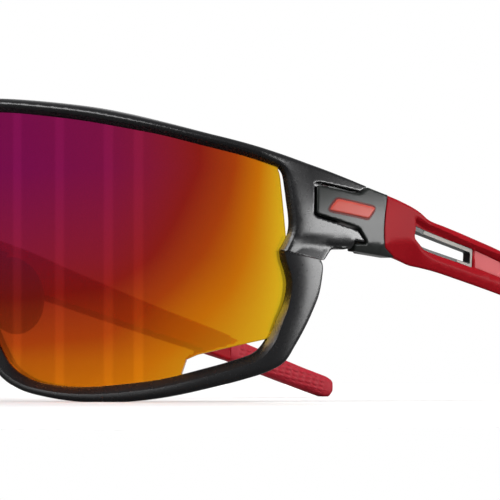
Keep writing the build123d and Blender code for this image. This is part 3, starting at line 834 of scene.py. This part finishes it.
LINER_INNER = [(65.0, 33.15), (67.2, 32.45), (73.6, 30.75), (81.25, 28.85), (81.1, 26.75), (69.3, 29.4),
               (67.1, 29.95), (64.8, 31.9)]
LINER_INNER_RADII = [0.8, 1.0, 3.0, 0.3, 0.3, 1.5, 1.2, 1.0]
# outline of the painted highlight band on the liner's face
HIGHLIGHT_BAND = [(67.8, 33.1), (74.0, 31.45), (81.7, 29.55), (81.45, 26.05), (77.0, 27.15), (77.2, 27.5), (81.0, 26.6),
        (81.1, 28.95), (73.8, 30.8), (67.4, 32.5)]
HIGHLIGHT_BAND_RADII = [0.1, 4.0, 0.3, 0.1, 0.1, 0.1, 0.2, 0.3, 3.0, 0.1]
HIGHLIGHT_BAND_PROUD, HIGHLIGHT_BAND_SUNK = 0.1, 0.2
LINER_DEPTH = 1.0


def liner_level(points):
    """The liner's face leans half as much as the shell's."""
    return LINER_DEPTH + side_face(points) * 0.5


def slot_liner():
    """Dark frame of the window, set below the face of the shell."""
    outer, inner = rounded(WINDOW, WINDOW_RADII), rounded(LINER_INNER, LINER_INNER_RADII)
    return plate(outer, on_side, liner_level, lambda p: temple_back(p) - 0.1, step=0.5, holes=[inner],
                 fine=0.2, insets=(0.05, 0.15))


def painted_liner_highlight():
    """Painted highlight: a pale band on the liner's dark outer face, from the top bar's dark front end round
    the rear, standing in for the light's reflection on the glossy black plastic.
    """
    return plate(rounded(HIGHLIGHT_BAND, HIGHLIGHT_BAND_RADII), on_side, lambda p: liner_level(p) - HIGHLIGHT_BAND_PROUD,
                 lambda p: liner_level(p) + HIGHLIGHT_BAND_SUNK, step=0.5, fine=0.2, insets=(0.05,))


pair("slot_liner", slot_liner(), LINER, "liner_grey", "slot_liner")
# the pale band is a painted highlight on the dark liner
pair("slot_liner_highlight", painted_liner_highlight(), LINER_PAINTED_HIGHLIGHT, "liner_grey")


INLAY_GAP, INLAY_FRONT, INLAY_BACK, INLAY_ROUNDING = 0.1, 0.8, 1.9, 0.15


def temple_inlay():
    """Paler strip in the shell's pocket."""
    outline = offset_loop(rounded(INLAY, INLAY_RADII), INLAY_GAP)

    def front(points):
        return INLAY_FRONT + soft_round(distance_to(points, outline, True), INLAY_ROUNDING)

    return plate(list(outline), on_side, front, lambda p: np.full(len(p), INLAY_BACK), step=0.9)


pair("temple_inlay", temple_inlay(), PALE_RED, "inlay_red", "temple_inlay")

TIP_TOP = [(137.5, 12.75), (147, 9.0), (155, 5.85), (159.0, 4.45), (160.6, 3.7), (161.5, 2.6)]
TIP_LOW = [(137.5, 7.65), (147, 4.2), (155, 1.35), (158.6, 0.1), (160.0, 0.1), (160.9, 0.9), (161.5, 2.1)]
TIP_THICK = [(137.5, 3.3), (147, 3.7), (156, 3.7), (159.5, 3.3), (160.8, 2.4), (161.5, 1.0)]
TIP_START, TIP_NOSE, TIP_END = 137.5, 158, 161.5
TIP_FLATNESS = 0.55, 0.7    # exponents of the section, across and upward; 1 is an ellipse
GRIP_DEPTH = 0.14
GRIP_PITCHES = 2.3, 2.6


def temple_tip():
    """Soft sleeve with a raised grip pattern of crossing ribs on its inner face."""
    nose = TIP_NOSE + (TIP_END - TIP_NOSE) * np.sin(np.linspace(0, pi / 2, 30))[1:]
    turns = np.linspace(0, 2 * pi, 120, endpoint=False)
    across, upward = [np.sign(wave) * np.abs(wave) ** power
                      for wave, power in zip((np.cos(turns), np.sin(turns)), TIP_FLATNESS)]
    inward = between(-across, 0.5, 1)
    rings = []
    for y in [*np.linspace(TIP_START, TIP_NOSE, 110), *nose]:
        high, low, width = table(y, TIP_TOP), table(y, TIP_LOW), table(y, TIP_THICK)
        height = np.maximum((high + low) / 2 + upward * (high - low) / 2, 0)
        fade = between(y, 139.0, 140.0) * between(y, 159.3, 157.8)
        rising = np.sin(2 * pi * (y + 1.1 * height) / GRIP_PITCHES[0])
        falling = np.sin(2 * pi * (0.5 * y - 1.6 * height) / GRIP_PITCHES[1])
        rib = GRIP_DEPTH * inward * fade * np.clip(1 - 3 * rising * falling, 0, 1)
        rings.append(on_side(np.full(len(turns), y), height, width / 2 - across * width / 2 - rib))
    return skin(rings)


pair("temple_tip", temple_tip(), RUBBER_RED, "red_rubber", "temple_tip")

# ------------------------------------------------------------------- badge
BADGE_CORNERS = [(40.2, 36.6), (51.2, 34.85), (54.0, 37.7), (43.0, 39.45)]
BADGE_RADII = [1.0, 1.6, 1.0, 1.6]
BADGE_PROUD, BADGE_ROUNDING, BADGE_BACK = 0.14, 0.3, 0.6
BADGE_EDGE_WIDTH, BADGE_EDGE_SUNK, BADGE_EDGE_BACK = 0.32, 0.02, 0.75


def badge():
    """Small raised blank plate on the temple core, and the darker rim round it."""
    line = rounded(BADGE_CORNERS, BADGE_RADII)
    face = offset_loop(line, BADGE_EDGE_WIDTH)

    def front(points):
        return side_face(points) - BADGE_PROUD + soft_round(distance_to(points, face, True), BADGE_ROUNDING)

    return (plate(list(face), on_side, front, lambda p: np.full(len(p), BADGE_BACK), step=0.6),
            plate(line, on_side, lambda p: side_face(p) + BADGE_EDGE_SUNK,
                  lambda p: np.full(len(p), BADGE_EDGE_BACK), step=0.6))


badge_face, badge_edge = badge()
pair("badge", badge_face, BADGE, "badge_red", "badge")
pair("badge_edge", badge_edge, BADGE_EDGE, "badge_red")

# ---------------------------------------------------- CAD nodes that remain
KEPT_PAIRS = {"nose_pad": RUBBER_BLACK, "nose_wire": WIRE, "hinge_screw": STEEL, "hinge_insert": BRASS,
              "tip_wire": WIRE}
KEPT = {f"{name}_{side}": looks for name, looks in KEPT_PAIRS.items() for side in ("left", "right")}
for node, looks in {"nose_bridge": BLACK, **KEPT}.items():
    part = frame["nodes"][node]
    part.data.materials.clear()
    part.data.materials.append(looks)

# -------------------------------------------------- camera, floor and light
VIEW_ANGLE = radians(46.0)
VIEW_DISTANCE = 2000.0
VIEW_SIDE = 62.66
EYE_HEIGHT = 12.4
SENSOR_WIDTH, FOCAL_LENGTH = 36.0, 742.248
VIEW_TILT = 0.0084877   # rise of the line of sight over its run
NEAREST, FARTHEST = 50.0, 50000.0
FRAME_CENTRE = Vector((0, FRONT_Y, 0))

right = Vector((cos(VIEW_ANGLE), sin(VIEW_ANGLE), 0))
ahead = Vector((-sin(VIEW_ANGLE), cos(VIEW_ANGLE), 0))
camera = bpy.data.objects.new("camera", bpy.data.cameras.new("camera"))
bpy.context.collection.objects.link(camera)
eye = FRAME_CENTRE + right * VIEW_SIDE - ahead * VIEW_DISTANCE + Vector((0, 0, EYE_HEIGHT))
camera.location = eye * MM
camera.rotation_euler = (ahead + Vector((0, 0, VIEW_TILT))).to_track_quat("-Z", "Y").to_euler()
camera.data.sensor_width = SENSOR_WIDTH
camera.data.lens = FOCAL_LENGTH
camera.data.clip_start = NEAREST * MM
camera.data.clip_end = FARTHEST * MM
bpy.context.scene.camera = camera

# the white studio is full strength to the eye, and weaker in reflections and as diffuse light
REFLECTED_STUDIO, DIFFUSE_STUDIO = 0.7, 0.3
world = bpy.data.worlds.new("studio")
bpy.context.scene.world = world
world.use_nodes = True
studio = world.node_tree.nodes["Background"]
studio.inputs["Color"].default_value = (1, 1, 1, 1)
seen = world.node_tree.nodes.new("ShaderNodeLightPath")
level = world.node_tree.nodes.new("ShaderNodeMath")
level.operation = "MULTIPLY_ADD"
level.inputs[1].default_value = 1 - REFLECTED_STUDIO
level.inputs[2].default_value = REFLECTED_STUDIO
dimmer = world.node_tree.nodes.new("ShaderNodeMath")
dimmer.operation = "MULTIPLY_ADD"
dimmer.inputs[1].default_value = DIFFUSE_STUDIO - REFLECTED_STUDIO
world.node_tree.links.new(seen.outputs["Is Camera Ray"], level.inputs[0])
world.node_tree.links.new(seen.outputs["Is Diffuse Ray"], dimmer.inputs[0])
world.node_tree.links.new(level.outputs[0], dimmer.inputs[2])
world.node_tree.links.new(dimmer.outputs[0], studio.inputs["Strength"])

FLOOR_HALF = 480.0
# the floor is pale to the eye, and darker as a source of bounced light
FLOOR_BOUNCE, FLOOR_PALE = 0.3, 0.78
floor_made, floor_nodes, floor_links, floor_shader = material("floor")
floor_shader.inputs["Roughness"].default_value = 0.6
floor_shader.inputs["Specular IOR Level"].default_value = 0.1
floor_seen = floor_nodes.new("ShaderNodeLightPath")
paleness = floor_nodes.new("ShaderNodeMapRange")
paleness.inputs["To Min"].default_value = FLOOR_BOUNCE
paleness.inputs["To Max"].default_value = FLOOR_PALE
floor_links.new(floor_seen.outputs["Is Camera Ray"], paleness.inputs["Value"])
floor_links.new(paleness.outputs["Result"], floor_shader.inputs["Base Color"])
floor_corners = [(x * FLOOR_HALF, y * FLOOR_HALF, 0) for x, y in ((-1, -1), (1, -1), (1, 1), (-1, 1))]
floor = make_mesh("floor", floor_corners, [(0, 1, 2, 3)])
floor.data.materials.append(floor_made)


AIM = Vector((0, 0, 30))


def softbox(name, around, above, width, height, radiance, away=1200.0, gloss_only=False):
    """Rectangular light aimed at the glasses, placed by its angle round from
    the front towards the wearer's left, and its angle above the floor. It
    shows only as a reflection if gloss_only, and otherwise only as light."""
    data = bpy.data.lights.new(name, "AREA")
    data.shape = "RECTANGLE"
    data.size, data.size_y = width * MM, height * MM
    data.energy = radiance * pi * width * height * MM * MM
    light = bpy.data.objects.new(name, data)
    bpy.context.collection.objects.link(light)
    turn, lift = radians(around), radians(above)
    way = Vector((sin(turn) * cos(lift), -cos(turn) * cos(lift), sin(lift)))
    light.location = (AIM + way * away) * MM
    light.rotation_euler = way.to_track_quat("Z", "Y").to_euler()
    light.visible_camera = False
    light.visible_diffuse = not gloss_only
    light.visible_glossy = gloss_only
    light.visible_transmission = False


softbox("key", around=96, above=46, width=900, height=900, radiance=6.0)
softbox("front", around=-20, above=40, width=700, height=700, radiance=2.0)
softbox("behind", around=222, above=22, width=900, height=420, radiance=12.0)
softbox("side_gloss", around=117, above=0, width=1330, height=330, radiance=36.0, gloss_only=True)
softbox("over_gloss", around=-3, above=29, width=1250, height=560, radiance=18.0, gloss_only=True)
for number, around in enumerate((-17.2, -4.3, 9.7, 18.0)):
    softbox(f"tube_{number}", around, above=0, width=90, height=900, radiance=0.3, away=2000,
            gloss_only=True)

bpy.context.scene.view_settings.view_transform = "Standard"
